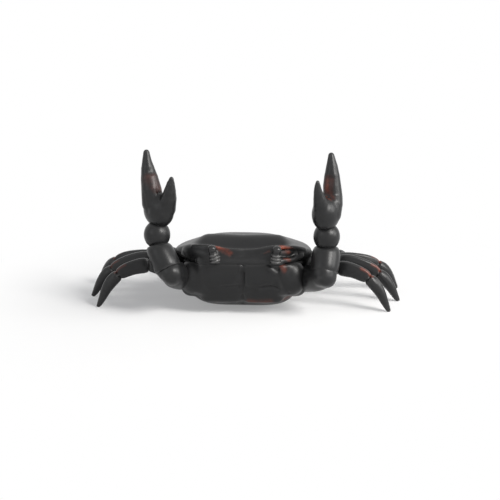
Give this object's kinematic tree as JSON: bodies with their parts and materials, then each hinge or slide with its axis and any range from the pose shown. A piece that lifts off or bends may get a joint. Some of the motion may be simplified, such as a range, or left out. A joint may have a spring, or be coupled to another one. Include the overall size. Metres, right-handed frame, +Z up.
{
  "type": "crab figurine",
  "caption": "Crab ornament with both claws raised as a rest for a pen, cast in matt charcoal resin.",
  "frame": {"origin": "middle of the flat foot under the belly, on the table", "axes": "+X to the right seen from the front, +Y to the rear away from the face, +Z up"},
  "size_m": [0.1552, 0.1002, 0.08],
  "materials": {
    "resin": "matte"
  },
  "bodies": {
    "root": {"carapace": "resin", "left_arm_root": "resin", "left_eye": "resin", "left_fore_leg_middle": "resin", "left_fore_leg_root": "resin", "left_fore_leg_toe": "resin", "left_hand": "resin", "left_hind_leg_middle": "resin", "left_hind_leg_root": "resin", "left_hind_leg_toe": "resin", "left_second_leg_middle": "resin", "left_second_leg_root": "resin", "left_second_leg_toe": "resin", "left_third_leg_middle": "resin", "left_third_leg_root": "resin", "left_third_leg_toe": "resin", "left_upper_arm": "resin", "left_wrist": "resin", "right_arm_root": "resin", "right_eye": "resin", "right_fore_leg_middle": "resin", "right_fore_leg_root": "resin", "right_fore_leg_toe": "resin", "right_hand": "resin", "right_hind_leg_middle": "resin", "right_hind_leg_root": "resin", "right_hind_leg_toe": "resin", "right_second_leg_middle": "resin", "right_second_leg_root": "resin", "right_second_leg_toe": "resin", "right_third_leg_middle": "resin", "right_third_leg_root": "resin", "right_third_leg_toe": "resin", "right_upper_arm": "resin", "right_wrist": "resin", "underbody": "resin"}
  },
  "joints": []
}
